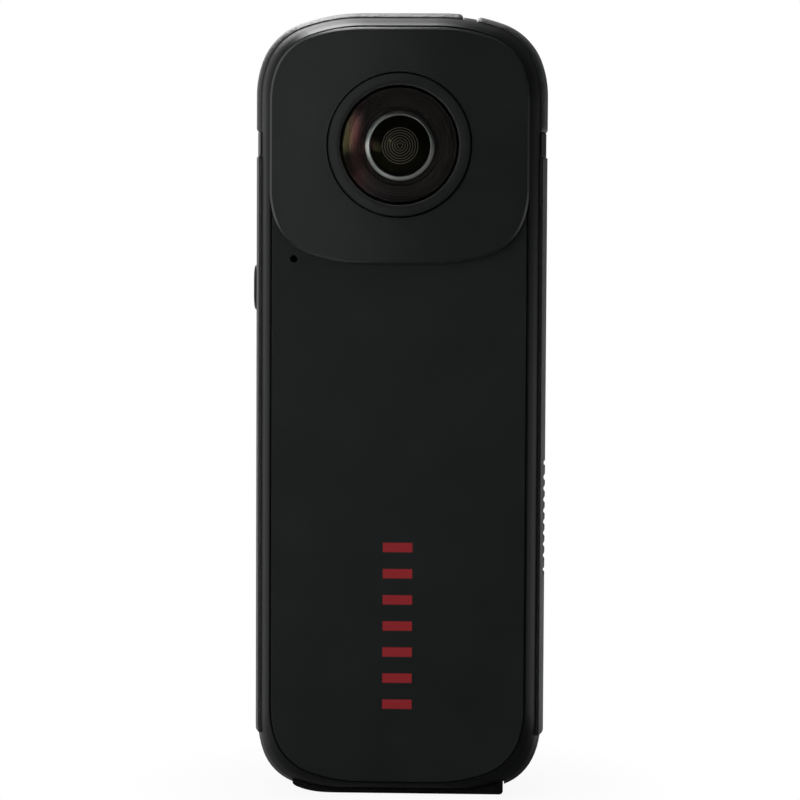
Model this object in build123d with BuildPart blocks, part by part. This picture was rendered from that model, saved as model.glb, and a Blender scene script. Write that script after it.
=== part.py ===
"""A stick-shaped 360 degree camera with a fisheye lens on either side.

Millimetres, +Z up. The front lens looks along -Y, the battery door is on +X and the
touch screen is on +Y. The origin is the mouth of the tripod socket, in the middle of
the base plate that the camera stands on.
"""

import os
from math import asin, atan2, cos, degrees, pi, radians, sin, sqrt

from build123d import *

os.makedirs("parts", exist_ok=True)

# Outside of the frame, seen from the front
body_height = 123.05
grip_proud = 0.4
crest_half = 22.6
crest_low = -0.15
crest_top_radii = (28.2, 9.6, 15.1)  # top, corner, side
crest_low_radii = (16.0, 8.0, 14.0)
side_bulge = 2.5
top_bulge = 2.3
low_bulge = 2.5
corner_sweeps = (20, 50, 20)  # degrees of the three arcs of a corner
overrun = 2.0

# Crown of the side walls, from cover to cover
rim_depth = 10.55
rim_flat = 0.2
crown_run = 15.0
grip_crown_shares = (-1, -0.5, 0, 0.5, 1)
shoulder_shares = (0, 0.55, 1)

# Covers, front and rear
cover_radii = (24.0, 8.5, 14.0)
cover_face = 10.75
cover_thick = 1.4
cover_seam = 0.15
cover_rest = 0.05
ledge_width = 1.0

# Recess for the grips, and the wall behind it
recess_half = 6.5
recess_deep = 1.6
cavity_round = 8.5
grip_gap = 0.15
side_land_drop = 1.5
side_land_tall = 3.7
side_land_proud = 0.2
top_land_start = 9.65
top_land_end = 11.7
top_land_proud = -0.05
side_grip_low = 9.35
base_half = 16.65
base_corner = 0.6

# Lens stack, the same on both sides
lens_drop = 21.1
plate_over = 0.3
plate_drop = 18.2
plate_proud = 1.0
plate_edge = 0.35
bezel_outer = 11.1
bezel_proud = 0.4
bezel_edge = 0.3
bezel_gap = 0.15
dome_radius = 9.2
dome_height = 4.3
dome_thick = 1.5
dome_skirt = 1.4
dome_gap = 0.08
dome_inner = 8.3
dome_crown = 1.2
dome_shares = (0, 0.2, 0.4, 0.6, 0.8, 1)
dome_inner_shares = (0, 0.35, 0.7, 1)
glass_facets = 40
barrel_outer = 10.9
barrel_flange = 0.15
barrel_facets = 20
baffle_radii = (8.3, 7.1, 5.9)
baffle_step = 0.7
inner_lens_radius = 4.65
inner_lens_thick = 2.0
inner_lens_bulge = 0.9
inner_lens_flat = 2.4
retainer_outer = 5.3
retainer_thick = 0.8
retainer_edge = 0.2
tail_bore = 3.9

# Folded optics between the two lens stacks
bracket_gap = 1.9
bracket_depth = 5.1
bracket_height = 13.0
prism_half = 4.4
prism_gap = 0.15
prism_split = 0.3
barrel_gap = 0.1
relay_radius = 4.0
sensor_room = 4.7
relay_facets = 12
sensor_size = 9.4
sensor_thick = 1.3
sensor_glass = 6.6
sensor_glass_thick = 0.4
board_thick = 1.0
sensor_board_size = 11.0
bracket_post = 2.6

# Base and tripod socket
socket_bore = 2.55
socket_depth = 5.8
socket_outer = 4.0
socket_height = 6.8
socket_flange = 5.2
socket_flange_thick = 1.2
fit_gap = 0.02
base_screw_x = 13.2
screw_head = 1.5
screw_head_thick = 0.9
screw_sunk = 0.25
screw_facets = 12
speaker_gap = 0.5
speaker_inset = 6.2
speaker_wide = 9.0
speaker_high = 4.0
speaker_lift = 0.5
speaker_slot_long = 5.0
speaker_slot_wide = 0.8

# Power button on the left side
power_drop = 22.15
power_long = 7.4
power_wide = 5.2
power_proud = 0.3
power_travel = 0.35
button_gap = 0.12
power_flange = 0.6
power_flange_thick = 0.4
power_pocket_deep = 0.9
power_stem = 1.0
stop_gap = 0.05
switch_size = 4.0
switch_high = 1.2
key_board_long = 14.0
key_board_wide = 8.0
post_size = 2.0

# Shutter button on the rear
shutter_z = 10.15
shutter_radius = 4.2
shutter_proud = 0.25
shutter_travel = 0.4
shutter_flange = 1.2
shutter_flange_thick = 0.45
shutter_rise = 0.1
rear_key_gap = 2.0
rear_key_low = 7.25

# Battery door on the right side, hinged at its rear edge
door_play = 0.1
door_swing = 95  # degrees
hinge_lean = 0.2374
pin_radius = 0.4
pin_bore = 0.45
pin_facets = 12
knuckle_radius = 0.78
knuckle_long = 4.0
knuckle_gap = 0.1
pin_reach = 3.0
knuckle_inset = 11.0
latch_low = 35.65
latch_ribs = 9
latch_pitch = 1.78
latch_half = 3.6
latch_depth = 0.44
latch_groove = 0.86
latch_travel = 0.85
latch_end_gap = 1.0
latch_flange = 1.0
latch_flange_thick = 0.6
latch_play = 0.1
hook_wide = 1.2
hook_long = 3.0
hook_reach = 0.45
keeper_gap = 0.15
keeper_long = 1.6
keeper_thick = 0.6

# Windows in the side wall behind the door, and their gasket
window_half = 5.0
port_low = 10.75
port_high = 23.55
gasket_wide = 0.7
gasket_deep = 0.45
gasket_inset = 0.3

# Battery and its tray
battery_low = 25.95
battery_drop = 18.0
battery_inset = 9.2
battery_half = 4.7
battery_round = 1.0
battery_sink = 0.4
battery_play = 0.2
tray_wall = 0.6
contact_long = 8.0
contact_wide = 6.0
contact_thick = 1.2
contact_pins = 3
contact_pin_radius = 0.5
contact_pin_pitch = 2.4

# Boards, ports and card
main_gap = 0.7
main_low = 12.95
main_drop = 11.0
main_inner = 7.4
rib_reach = 3.0
rib_inner = 5.7
rib_high = 2.5
rib_inset = 2.0
rib_lift = 0.5
board_screw_head = 1.1
board_screw_head_thick = 0.5
board_screw_inset = 1.0
chip_size = 12.0
chip_thick = 1.1
chip_drop = 39.0
can_wide = 16.0
can_high = 14.0
can_thick = 1.3
can_gap = 11.0
spreader_inset = 4.7
spreader_low = 24.95
spreader_drop = 12.0
spreader_thick = 0.4
mic_inset = 2.6
mic_lift = 0.6
mic_hole = 0.55
mic_wide = 2.7
mic_long = 3.5
mic_thick = 0.9
port_board_long = 14.1
port_board_half = 0.5
port_board_spare = 0.6
port_gap = 0.3
usb_wide = 9.0
usb_high = 3.2
usb_long = 7.3
usb_shell = 0.3
usb_tongue_wide = 6.7
usb_tongue_high = 0.7
usb_tongue_short = 0.8
port_sink = 0.3
card_long = 15.0
card_wide = 11.0
card_thick = 0.75
card_play = 0.08
card_wall = 0.35
antenna_half = 6.0
antenna_wide = 4.0
antenna_thick = 0.4

# Touch screen on the rear
glass_low = 18.95
glass_drop = 3.8
glass_inset = 3.45
glass_round = 2.0
glass_thick = 0.7
glass_gap = 0.08
screen_border = 2.2
screen_thick = 1.6
screen_over = 0.9

# Places that follow from the sizes above
crest_high = body_height - grip_proud
rim_half = crest_half - side_bulge
rim_low = crest_low + low_bulge
rim_high = crest_high - top_bulge
cover_half = rim_half - rim_flat - cover_seam
cover_low = rim_low + rim_flat + cover_seam
cover_high = rim_high - rim_flat - cover_seam
lens_z = body_height - lens_drop
plate_half = cover_half + plate_over
plate_low = lens_z - plate_drop
plate_high = cover_high
side_land_low = lens_z - side_land_drop
side_land_high = side_land_low + side_land_tall
power_z = lens_z - power_drop
battery_high = lens_z - battery_drop
main_high = lens_z - main_drop
glass_high = plate_low - glass_drop
glass_half = cover_half - glass_inset
rim_radii = [r + cover_seam + rim_flat for r in cover_radii]
cover_inner = cover_face - cover_thick
ledge_face = cover_inner - cover_rest
ledge_inset = ledge_width - cover_seam
floor_x = crest_half - recess_deep
cavity_x = cover_half - ledge_inset
cavity_low = cover_low + ledge_inset
cavity_high = cover_high - ledge_inset
wall = floor_x - cavity_x
bracket_half = cavity_x - bracket_gap
rear_key_half = cavity_x - rear_key_gap
main_half = cavity_x - main_gap
spreader_half = main_half - spreader_inset
spreader_high = main_high - spreader_drop
rib_first = main_low + rib_inset
rib_last = main_high - rib_high - rib_lift
rib_lows = (rib_first, (rib_first + rib_last) / 2, rib_last)
chip_z = lens_z - chip_drop
can_z = chip_z - chip_size / 2 - can_gap - can_high / 2
mic_x = mic_inset - cavity_x
speaker_end = -socket_flange - speaker_gap
speaker_long = speaker_end - speaker_inset + cavity_x
speaker_x = speaker_end - speaker_long / 2
mic_z = plate_low + mic_lift
grip_half = recess_half - grip_gap
plate_face = cover_face + plate_proud
plate_hole = bezel_outer + bezel_gap
bezel_seat = cover_face + barrel_flange
bezel_face = plate_face + bezel_proud
dome_edge = bezel_face - bezel_edge
dome_foot = dome_edge - dome_skirt
dome_top = dome_edge + dome_height
dome_sphere = (dome_radius**2 + dome_height**2) / (2 * dome_height)
barrel_foot = bracket_depth + barrel_gap
relay_start = prism_half + 2 * prism_gap
relay_end = bracket_half - sensor_room
relay_length = relay_end - relay_start
main_face = main_inner + board_thick


def crown_share(depth):
    """Share of the fall from the crest to the rim at a depth from the middle."""
    fall = 1 - sqrt(1 - (depth / crown_run) ** 2)
    return fall / (1 - sqrt(1 - (rim_depth / crown_run) ** 2))


def crown_x(depth, proud):
    """Half width of the side wall at a depth from the middle."""
    return crest_half + crown_share(depth) * (rim_half - crest_half) + proud


door_low = side_grip_low + grip_gap
door_high = side_land_low - grip_gap
door_inner = floor_x + door_play
pin_x = crown_x(grip_half, grip_proud) - hinge_lean
hinge_radius = pin_x - door_inner
pin_y = grip_half - hinge_radius
latch_long = latch_ribs * latch_pitch
latch_high = latch_low + latch_long
battery_long = battery_high - battery_low
battery_end = cavity_x - battery_sink
battery_start = battery_inset - cavity_x
tray_back = battery_start - contact_thick - tray_wall - battery_play


def corner(radii):
    """How far a three-arc corner reaches along its first and its last side."""
    one = radians(corner_sweeps[0])
    two = radians(corner_sweeps[0] + corner_sweeps[1])
    first = radii[0] * sin(one) + radii[1] * (sin(two) - sin(one)) + radii[2] * (1 - sin(two))
    last = radii[0] * (1 - cos(one)) + radii[1] * (cos(one) - cos(two)) + radii[2] * cos(two)
    return first, last


def outline(half, low, high, top_radii, low_radii, depth):
    """Face of a soft-cornered upright outline on the plane y = depth."""
    top_first, top_last = corner(top_radii)
    low_first, low_last = corner(low_radii)
    down = [(top_radii[i], corner_sweeps[i]) for i in range(len(top_radii))]
    under = [(low_radii[i], corner_sweeps[i]) for i in range(len(low_radii))]
    runs = (
        ((-half + top_first, high), (half - top_first, high), down),
        ((half, high - top_last), (half, low + low_last), under[::-1]),
        ((half - low_first, low), (-half + low_first, low), under),
        ((-half, low + low_last), (-half, high - top_last), down[::-1]),
    )
    with BuildSketch(Plane.XZ.offset(-depth)) as face:
        with BuildLine():
            for start, end, arcs in runs:
                side = Line(start, end)
                point, heading = side @ 1, side % 1
                for radius, sweep_angle in arcs:
                    bend = JernArc(point, heading, radius, -sweep_angle)
                    point, heading = bend @ 1, bend % 1
        make_face()
    return face.sketch


def body_outline(depth, share, proud):
    """Outline between the crest (share 0) and the rim (share 1), moved out by proud."""
    half = crest_half + share * (rim_half - crest_half)
    low = crest_low + share * (rim_low - crest_low)
    high = crest_high + share * (rim_high - crest_high)
    tops = [a + share * (b - a) + proud for a, b in zip(crest_top_radii, rim_radii)]
    lows = [a + share * (b - a) + proud for a, b in zip(crest_low_radii, rim_radii)]
    return outline(half + proud, low - proud, high + proud, tops, lows, depth)


def crowned(depths, proud):
    """Sections of the crowned body at some depths, moved out by proud."""
    return [body_outline(depth, crown_share(depth), proud) for depth in depths]


def cover_outline(depth, inset):
    """The covers' outline, moved in by inset."""
    radii = [r - inset for r in cover_radii]
    return outline(cover_half - inset, cover_low + inset, cover_high - inset, radii, radii, depth)


def plate_outline(depth, inset):
    """The lens plates' outline, moved in by inset."""
    radii = [r - inset for r in cover_radii]
    return outline(plate_half - inset, plate_low + inset, plate_high - inset, radii, radii, depth)


def upright_box(x0, x1, y0, y1, z0, z1, mode=Mode.ADD):
    """A box between two corners, joined to the part that is being built."""
    middle = Location(((x0 + x1) / 2, (y0 + y1) / 2, (z0 + z1) / 2))
    with Locations(middle):
        return Box(abs(x1 - x0), abs(y1 - y0), abs(z1 - z0), mode=mode)


def finish_piece(part, name):
    """Label a finished piece and write it."""
    part.label = name
    export_step(part, f"parts/{name}.step")


side_axis = Plane((0, 0, 0), x_dir=(0, 1, 0), z_dir=(1, 0, 0))


# Mid frame: a crowned ring with a recess for the grips, ledges for the covers, ribs
# for the boards, the windows behind the battery door and the hinge knuckles.
def lands(proud, boxes):
    """Pieces of the frame's crown that stand between the grips."""
    with BuildPart() as piece:
        loft(crowned([recess_half * share for share in grip_crown_shares], proud), ruled=True)
        with BuildSketch(Plane.XZ):
            for x0, x1, z0, z1 in boxes:
                with Locations(((x0 + x1) / 2, (z0 + z1) / 2)):
                    Rectangle(x1 - x0, z1 - z0)
        extrude(amount=recess_half, both=True, mode=Mode.INTERSECT)
    return piece.part


out_x = crest_half + overrun
side_lands = lands(
    side_land_proud,
    (
        (-out_x, -cavity_x, side_land_low, side_land_high),
        (cavity_x, out_x, side_land_low, side_land_high),
    ),
)
top_land = lands(
    top_land_proud, ((top_land_start, top_land_end, cavity_high, body_height + overrun),)
)
low_lands = lands(
    0,
    (
        (-out_x, -base_half - grip_gap, crest_low - overrun, side_grip_low),
        (base_half + grip_gap, out_x, crest_low - overrun, side_grip_low),
    ),
)
knuckle_places = (door_low + knuckle_inset, door_high - knuckle_inset)
pocket_floor = floor_x - power_pocket_deep
hook_high = latch_high - latch_long / 2 + hook_long / 2

with BuildPart() as mid_frame:
    extrude(body_outline(-recess_half, 0, -recess_deep), amount=-2 * recess_half)
    for sense in (-1, 1):
        depths = [recess_half + share * (rim_depth - recess_half) for share in shoulder_shares]
        loft(crowned([sense * depth for depth in depths], 0), ruled=True)
    add(side_lands)
    add(top_land)
    add(low_lands)
    with BuildSketch(Plane.XZ):
        with Locations((0, (cavity_low + cavity_high) / 2)):
            RectangleRounded(2 * cavity_x, cavity_high - cavity_low, cavity_round)
    extrude(amount=rim_depth + overrun, both=True, mode=Mode.SUBTRACT)
    for sense in (-1, 1):
        mouth = cover_outline(sense * ledge_face, -cover_seam)
        extrude(mouth, amount=-sense * (overrun + cover_thick), mode=Mode.SUBTRACT)
    # Ribs under the boards, and posts beside the optics and the power switch
    for sense in (-1, 1):
        for low in rib_lows:
            for face in (-1, 1):
                upright_box(
                    sense * (cavity_x - rib_reach), sense * (cavity_x + wall / 2),
                    face * rib_inner, face * main_inner, low, low + rib_high,
                )
        for face in (-1, 1):
            middle = lens_z + face * (bracket_height / 2 - bracket_post)
            upright_box(
                sense * (bracket_half + fit_gap), sense * (cavity_x + wall / 2),
                -bracket_post, bracket_post, middle - bracket_post / 2, middle + bracket_post / 2,
            )
    key_face = cavity_x - stop_gap - power_travel - switch_high - stop_gap
    for face in (-1, 1):
        middle = power_z + face * (key_board_long - post_size) / 2
        upright_box(
            -cavity_x - wall / 2, -key_face, -post_size / 2, post_size / 2,
            middle - post_size / 2, middle + post_size / 2,
        )
    # Power button pocket and the hole of its stem
    with BuildSketch(side_axis.offset(-floor_x - overrun)):
        with Locations((0, power_z)):
            Rectangle(
                power_wide + 2 * (power_flange + button_gap),
                power_long + 2 * (power_flange + button_gap),
            )
    extrude(amount=overrun + power_pocket_deep, mode=Mode.SUBTRACT)
    with BuildSketch(side_axis.offset(-floor_x)):
        with Locations((0, power_z)):
            Rectangle(2 * (power_stem + button_gap), 2 * (power_stem + button_gap))
    extrude(amount=wall + overrun, mode=Mode.SUBTRACT)
    # Windows for the battery and the ports, with the groove of their gasket
    upright_box(
        cavity_x - wall, floor_x + overrun, -window_half, window_half,
        battery_low - battery_play, battery_high + battery_play, Mode.SUBTRACT,
    )
    upright_box(
        cavity_x - wall, floor_x + overrun, -window_half, window_half,
        port_low, port_high, Mode.SUBTRACT,
    )
    ring_half = window_half + gasket_inset + gasket_wide
    ring_low = port_low - gasket_inset - gasket_wide
    ring_high = battery_high + battery_play + gasket_inset + gasket_wide
    with BuildSketch(side_axis.offset(floor_x - gasket_deep)) as gasket_ring:
        with Locations((0, (ring_low + ring_high) / 2)):
            Rectangle(2 * ring_half, ring_high - ring_low)
            Rectangle(
                2 * (ring_half - gasket_wide), ring_high - ring_low - 2 * gasket_wide,
                mode=Mode.SUBTRACT,
            )
    extrude(amount=gasket_deep, mode=Mode.SUBTRACT)
    # Keeper of the latch, at the edge of the battery window
    upright_box(
        floor_x - keeper_thick, floor_x, -window_half - gasket_inset / 2,
        -latch_half - latch_flange + hook_wide,
        hook_high + keeper_gap, hook_high + keeper_gap + keeper_long,
    )
    # Hinge knuckles, each on a web to the recess floor
    for place in knuckle_places:
        with BuildSketch(Plane.XY.offset(place - knuckle_long / 2)):
            with Locations((pin_x, pin_y)):
                Circle(knuckle_radius)
            with Locations(((floor_x + pin_x) / 2, (pin_y + recess_half - knuckle_radius) / 2)):
                Rectangle(pin_x - floor_x, recess_half - pin_y + knuckle_radius)
            with Locations((pin_x, pin_y)):
                RegularPolygon(pin_radius + fit_gap, pin_facets, mode=Mode.SUBTRACT)
        extrude(amount=knuckle_long)
    # Tripod socket and the speaker's slot through the floor
    with BuildSketch(Plane.XY.offset(crest_low)):
        Circle(socket_outer + fit_gap)
        with Locations((speaker_x, 0)):
            Rectangle(speaker_slot_wide, speaker_slot_long)
    extrude(amount=cavity_low - crest_low + overrun, mode=Mode.SUBTRACT)
finish_piece(mid_frame.part, "mid_frame")

with BuildPart() as door_gasket:
    extrude(gasket_ring.sketch, amount=gasket_deep)
finish_piece(door_gasket.part, "door_gasket")


# Covers, and the lens plates over their upper part
def cover(sense):
    """Flat cover with a barrel hole and a microphone hole."""
    with BuildPart() as piece:
        extrude(cover_outline(sense * cover_inner, 0), amount=-sense * cover_thick)
        with BuildSketch(Plane.XZ.offset(-sense * cover_inner)):
            with Locations((0, lens_z)):
                Circle(barrel_outer + bezel_gap)
            with Locations((mic_x, mic_z)):
                Circle(mic_hole)
        extrude(amount=-sense * cover_thick, mode=Mode.SUBTRACT)
    return piece.part


finish_piece(cover(-1), "front_cover")

with BuildPart() as rear_cover:
    add(cover(1))
    # Pocket for the screen glass, with the window of the display
    with BuildSketch(Plane.XZ.offset(-cover_face + glass_thick + glass_gap)):
        with Locations((0, (glass_low + glass_high) / 2)):
            RectangleRounded(
                2 * (glass_half + glass_gap), glass_high - glass_low + 2 * glass_gap,
                glass_round + glass_gap,
            )
    extrude(amount=-cover_thick, mode=Mode.SUBTRACT)
    with BuildSketch(Plane.XZ.offset(-cover_inner)):
        with Locations((0, (glass_low + glass_high) / 2)):
            Rectangle(2 * (glass_half - screen_border), glass_high - glass_low - 2 * screen_border)
        with Locations((0, shutter_z)):
            Circle(shutter_radius + button_gap)
    extrude(amount=-cover_thick, mode=Mode.SUBTRACT)
finish_piece(rear_cover.part, "rear_cover")

for name, sense in (("front", -1), ("rear", 1)):
    with BuildPart() as lens_plate:
        land = plate_proud - plate_edge
        extrude(plate_outline(sense * cover_face, 0), amount=-sense * land)
        shoulder = plate_outline(sense * (cover_face + land), 0)
        loft([shoulder, plate_outline(sense * plate_face, plate_edge)], ruled=True)
        with BuildSketch(Plane.XZ.offset(-sense * cover_face)):
            with Locations((0, lens_z)):
                Circle(plate_hole)
        extrude(amount=-sense * plate_proud, mode=Mode.SUBTRACT)
    finish_piece(lens_plate.part, f"{name}_lens_plate")


# Lens stacks: each piece is made once, rising from the lens axis's crossing of the
# middle, and placed on both sides. Its rounds have flats too fine to see.
def ring_face(radius, depth, facets):
    """Many-sided round face at a depth from the middle."""
    with BuildSketch(Plane.XY.offset(depth)) as face:
        RegularPolygon(radius, facets)
    return face.sketch


def stack(points, facets):
    """Round solid through (radius, depth) points, straight from each to the next."""
    with BuildPart() as piece:
        for (radius, depth), (next_radius, next_depth) in zip(points, points[1:]):
            rise = next_depth - depth
            lean = atan2((radius - next_radius) * cos(pi / facets), rise)
            extrude(ring_face(radius, depth, facets), amount=rise, taper=degrees(lean))
    return piece.part


def cap_points(sphere, edge, top, shares):
    """(radius, depth) points of a cap from its rim up to its flat crown."""
    first, last = asin(edge / sphere), asin(dome_crown / sphere)
    angles = [first + share * (last - first) for share in shares]
    return [(sphere * sin(angle), top - sphere * (1 - cos(angle))) for angle in angles]


# Bezel ring around the dome
with BuildPart() as lens_bezel:
    profile = (
        (bezel_outer, bezel_seat), (bezel_outer, bezel_face - bezel_edge),
        (bezel_outer - bezel_edge, bezel_face),
    )
    add(stack(profile, glass_facets))
    hole = ring_face(dome_radius + dome_gap, bezel_seat, glass_facets)
    extrude(hole, amount=bezel_face - bezel_seat, mode=Mode.SUBTRACT)

# Glass dome on a short skirt, hollow under a second cap on the same centre
with BuildPart() as dome_lens:
    cap = cap_points(dome_sphere, dome_radius, dome_top, dome_shares)
    add(stack([(dome_radius, dome_foot)] + cap, glass_facets))
    inside = dome_sphere - dome_thick
    cap = cap_points(inside, dome_inner, dome_top - dome_thick, dome_inner_shares)
    add(stack([(dome_inner, dome_foot)] + cap, barrel_facets), mode=Mode.SUBTRACT)

# Barrel: a seat for the dome, a stepped baffle, the inner lens's cell
cell = inner_lens_radius + fit_gap
cell_face = dome_foot - baffle_step * len(baffle_radii)
cell_foot = cell_face - inner_lens_thick
with BuildPart() as lens_barrel:
    extrude(ring_face(barrel_outer, barrel_foot, barrel_facets), amount=bezel_seat - barrel_foot)
    seat = ring_face((dome_radius + fit_gap) / cos(pi / barrel_facets), dome_foot, barrel_facets)
    extrude(seat, amount=bezel_seat - dome_foot, mode=Mode.SUBTRACT)
    for step, radius in enumerate(baffle_radii):
        baffle = ring_face(radius, dome_foot - (step + 1) * baffle_step, barrel_facets)
        extrude(baffle, amount=baffle_step, mode=Mode.SUBTRACT)
    extrude(
        ring_face(cell, cell_foot, barrel_facets), amount=inner_lens_thick, mode=Mode.SUBTRACT
    )
    tail = ring_face(tail_bore, barrel_foot, barrel_facets)
    extrude(tail, amount=cell_foot - barrel_foot, mode=Mode.SUBTRACT)

with BuildPart() as retaining_ring:
    rim = cell_face + retainer_thick
    profile = (
        (retainer_outer, cell_face), (retainer_outer, rim - retainer_edge),
        (retainer_outer - retainer_edge, rim),
    )
    add(stack(profile, barrel_facets))
    hole = ring_face(cell, cell_face, barrel_facets)
    extrude(hole, amount=retainer_thick, mode=Mode.SUBTRACT)

# Inner lens, bulging through its retaining ring
profile = (
    (inner_lens_radius, cell_foot), (inner_lens_radius, cell_face),
    (inner_lens_flat, cell_face + inner_lens_bulge),
)
inner_lens = stack(profile, barrel_facets)

lens_sides = (
    ("front", Plane((0, 0, lens_z), x_dir=(1, 0, 0), z_dir=(0, -1, 0))),
    ("rear", Plane((0, 0, lens_z), x_dir=(-1, 0, 0), z_dir=(0, 1, 0))),
)
for name, side in lens_sides:
    finish_piece(side * lens_bezel.part, f"{name}_lens_bezel")
    finish_piece(side * dome_lens.part, f"{name}_dome_lens")
    finish_piece(side * lens_barrel.part, f"{name}_lens_barrel")
    finish_piece(side * retaining_ring.part, f"{name}_retaining_ring")
    finish_piece(side * inner_lens, f"{name}_inner_lens")


# Folded optics: two prisms back to back turn each lens's light to its own side
with BuildPart() as optical_bracket:
    with Locations((0, 0, lens_z)):
        Box(2 * bracket_half, 2 * bracket_depth, bracket_height)
        Box(*(2 * (prism_half + prism_gap),) * 3, mode=Mode.SUBTRACT)
        Box(2 * tail_bore, 2 * bracket_depth, 2 * tail_bore, mode=Mode.SUBTRACT)
    with BuildSketch(side_axis.offset(-bracket_half)):
        with Locations((0, lens_z)):
            RegularPolygon(relay_radius + fit_gap, relay_facets)
    extrude(amount=2 * bracket_half, mode=Mode.SUBTRACT)
    for sense in (-1, 1):
        reach = relay_end + fit_gap
        upright_box(
            sense * reach, sense * (bracket_half + overrun),
            -sensor_size / 2 - prism_gap, sensor_size / 2 + prism_gap,
            lens_z - sensor_board_size / 2 - prism_gap, lens_z + sensor_board_size / 2 + prism_gap,
            Mode.SUBTRACT,
        )
finish_piece(optical_bracket.part, "optical_bracket")

for name, sense in (("front", -1), ("rear", 1)):
    with BuildPart() as prism:
        with BuildSketch(Plane.XY.offset(lens_z - prism_half)):
            with BuildLine():
                # The front prism opens to -X, the rear one to +X
                Polyline(
                    (sense * prism_half, sense * prism_half),
                    (sense * prism_half, sense * (prism_split - prism_half)),
                    (sense * (prism_split - prism_half), sense * prism_half),
                    close=True,
                )
            make_face()
        extrude(amount=2 * prism_half)
    finish_piece(prism.part, f"{name}_prism")

for name, sense in (("left", -1), ("right", 1)):
    with BuildPart() as relay:
        with BuildSketch(side_axis.offset(sense * relay_start)):
            with Locations((0, lens_z)):
                RegularPolygon(relay_radius, relay_facets)
        extrude(amount=sense * relay_length)
    finish_piece(relay.part, f"{name}_relay_barrel")

    sensor_start = relay_end + sensor_glass_thick + 2 * fit_gap
    with BuildPart() as sensor:
        upright_box(
            sense * sensor_start, sense * (sensor_start + sensor_thick),
            -sensor_size / 2, sensor_size / 2, lens_z - sensor_size / 2, lens_z + sensor_size / 2,
        )
        upright_box(
            sense * (sensor_start - sensor_glass_thick), sense * sensor_start,
            -sensor_glass / 2, sensor_glass / 2, lens_z - sensor_glass / 2, lens_z + sensor_glass / 2,
        )
    finish_piece(sensor.part, f"{name}_image_sensor")

    board_start = sensor_start + sensor_thick
    with BuildPart() as sensor_board:
        upright_box(
            sense * board_start, sense * (board_start + board_thick),
            -sensor_size / 2, sensor_size / 2,
            lens_z - sensor_board_size / 2, lens_z + sensor_board_size / 2,
        )
    finish_piece(sensor_board.part, f"{name}_sensor_board")


# Grips: crowned strips in the recess
def grip(boxes):
    """Part of the crowned grip ring that lies in upright boxes."""
    with BuildPart() as piece:
        loft(crowned([grip_half * share for share in grip_crown_shares], grip_proud), ruled=True)
        floor = body_outline(-recess_half, 0, -recess_deep)
        extrude(floor, amount=-2 * recess_half, mode=Mode.SUBTRACT)
        with BuildSketch(Plane.XZ):
            for x0, x1, z0, z1 in boxes:
                with Locations(((x0 + x1) / 2, (z0 + z1) / 2)):
                    Rectangle(x1 - x0, z1 - z0)
        extrude(amount=recess_half, both=True, mode=Mode.INTERSECT)
    return piece.part


land_top = side_land_high + grip_gap
grip_top = body_height + overrun
top_grip = grip(((-out_x, top_land_start - grip_gap, land_top, grip_top),))
finish_piece(top_grip, "top_grip")
shoulder_grip = grip(((top_land_end + grip_gap, out_x, land_top, grip_top),))
finish_piece(shoulder_grip, "shoulder_grip")

with BuildPart() as side_grip:
    add(grip(((-out_x, 0, door_low, door_high),)))
    with BuildSketch(side_axis.offset(-out_x)):
        with Locations((0, power_z)):
            SlotOverall(power_long + 2 * button_gap, power_wide + 2 * button_gap, rotation=90)
    extrude(amount=2 * overrun + recess_deep, mode=Mode.SUBTRACT)
finish_piece(side_grip.part, "side_grip")

# Base plate, tripod socket insert, base screws
with BuildPart() as base_plate:
    with BuildSketch(Plane.XZ.offset(-grip_half)) as base_face:
        with Locations((0, cavity_low / 2)):
            Rectangle(2 * base_half, cavity_low)
        fillet(base_face.vertices().group_by(Axis.Z)[0], base_corner)
    extrude(amount=2 * grip_half)
    floor = body_outline(-recess_half, 0, -recess_deep)
    extrude(floor, amount=-2 * recess_half, mode=Mode.SUBTRACT)
    with BuildSketch(Plane.XY):
        Circle(socket_outer + fit_gap)
        with Locations((speaker_x, 0)):
            Rectangle(speaker_slot_wide, speaker_slot_long)
    extrude(amount=cavity_low - crest_low + overrun, mode=Mode.SUBTRACT)
    with BuildSketch(Plane.XY):
        with Locations((-base_screw_x, 0), (base_screw_x, 0)):
            RegularPolygon(screw_head + fit_gap, screw_facets)
    extrude(amount=screw_sunk + screw_head_thick, mode=Mode.SUBTRACT)
finish_piece(base_plate.part, "base_plate")

with BuildPart() as tripod_socket:
    with BuildSketch(Plane.XY):
        Circle(socket_outer)
    extrude(amount=socket_height)
    with BuildSketch(Plane.XY.offset(cavity_low)):
        RegularPolygon(socket_flange, 6)
    extrude(amount=socket_flange_thick)
    with BuildSketch(Plane.XY):
        Circle(socket_bore)
    extrude(amount=socket_depth, mode=Mode.SUBTRACT)
finish_piece(tripod_socket.part, "tripod_socket")

with BuildPart() as base_screws:
    with BuildSketch(Plane.XY.offset(screw_sunk)):
        with Locations((-base_screw_x, 0), (base_screw_x, 0)):
            RegularPolygon(screw_head, screw_facets)
    extrude(amount=screw_head_thick)
finish_piece(base_screws.part, "base_screws")

with BuildPart() as speaker:
    upright_box(
        speaker_x - speaker_long / 2, speaker_x + speaker_long / 2,
        -speaker_wide / 2, speaker_wide / 2,
        cavity_low + speaker_lift, cavity_low + speaker_lift + speaker_high,
    )
finish_piece(speaker.part, "speaker")

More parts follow.
